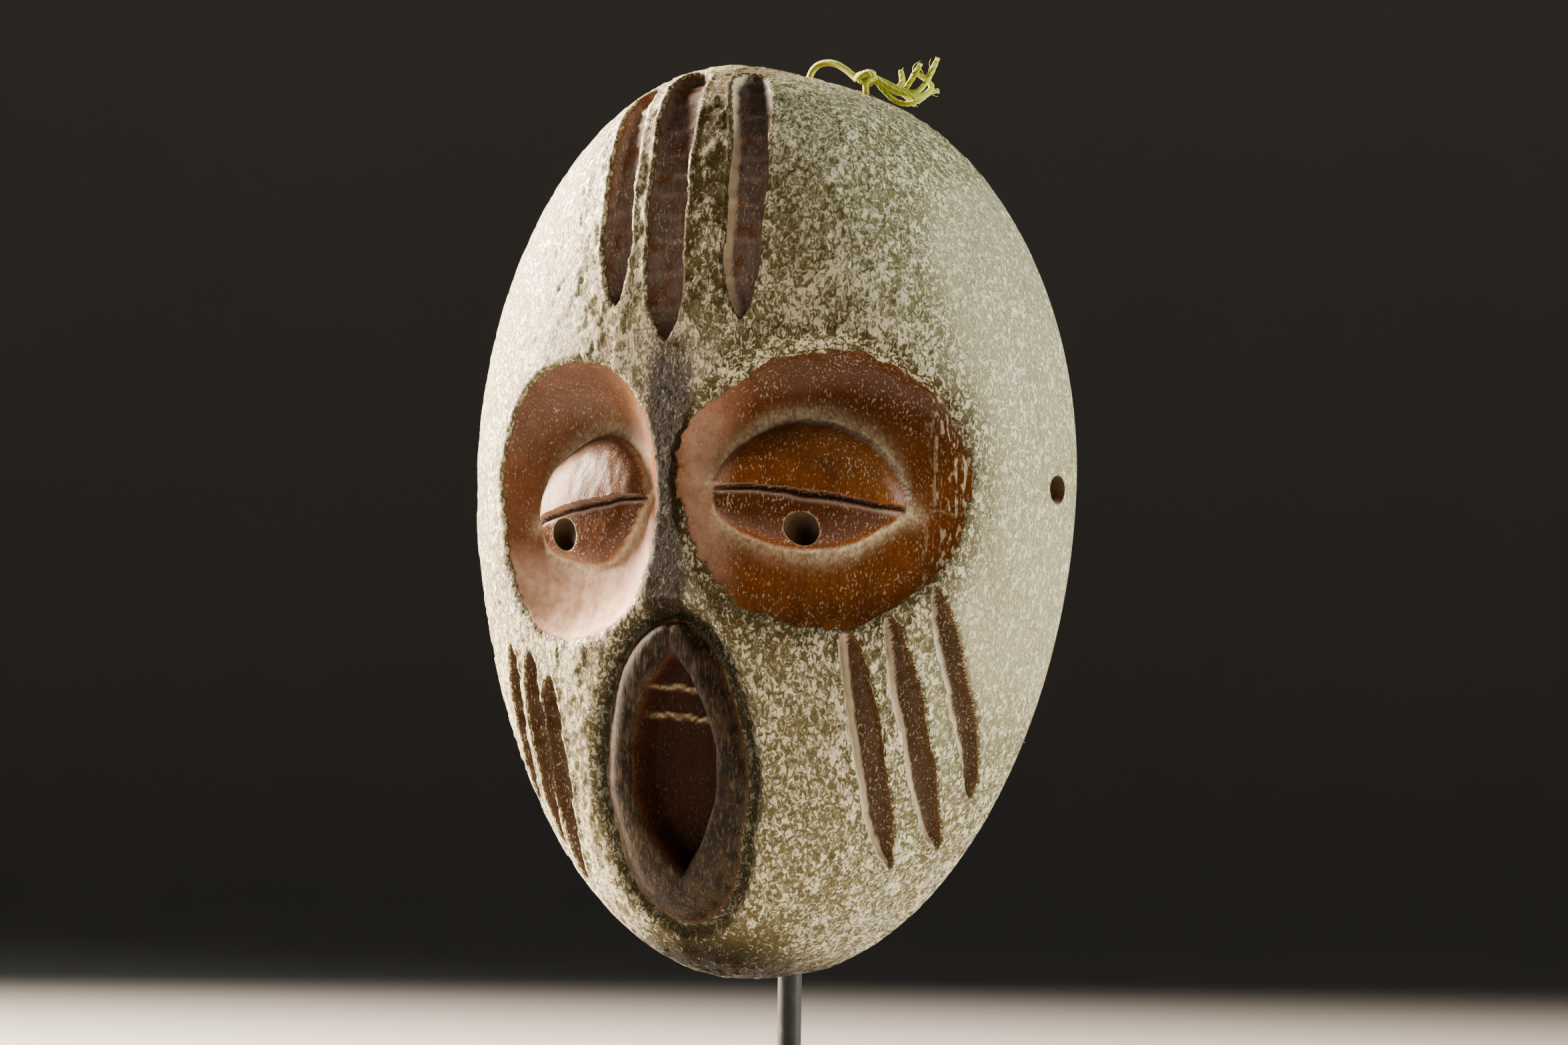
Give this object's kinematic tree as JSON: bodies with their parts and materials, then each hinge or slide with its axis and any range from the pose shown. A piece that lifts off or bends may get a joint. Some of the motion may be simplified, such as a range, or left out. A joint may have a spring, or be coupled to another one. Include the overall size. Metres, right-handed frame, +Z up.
{
  "type": "carved mask on display stand",
  "caption": "Oval carved wooden face mask with scooped sockets, slit almond eyes, pointed oval mouth and gouged marks, whitewashed, with a twine loop, on a bent-rod display stand.",
  "frame": {"origin": "middle of the stand's underside, on the surface it rests on", "axes": "+Z up; the face looks along -Y; +X is the viewer's right when facing the mask"},
  "size_m": [0.212, 0.14, 0.3796],
  "materials": {
    "whitewashed_wood": "crusty matte limewash over brown stained wood, satin in the sockets",
    "green_raffia": "frayed dry fibre",
    "black_steel": "satin black",
    "black_rubber": "matte",
    "screw_steel": "zinc",
    "dark_felt": "felt"
  },
  "bodies": {
    "stand": {"stand_base": "black_steel", "base_felt": "dark_felt", "base_screw": "screw_steel", "rod_socket": "black_steel", "socket_set_screw": "screw_steel", "support_rod": "black_steel", "hanger_bar": "black_steel", "hanger_sleeve_left": "black_rubber", "hanger_sleeve_right": "black_rubber", "chin_sleeve": "black_rubber"},
    "mask": {"mask_shell": "whitewashed_wood", "hanging_twine": "green_raffia", "twine_knot": "green_raffia", "twine_tuft": "green_raffia"}
  },
  "joints": [
    {"name": "mask_lift_off", "type": "slide", "parent": "stand", "child": "mask", "axis": [0, 0, 1], "range_m": [0, 0.06]}
  ]
}
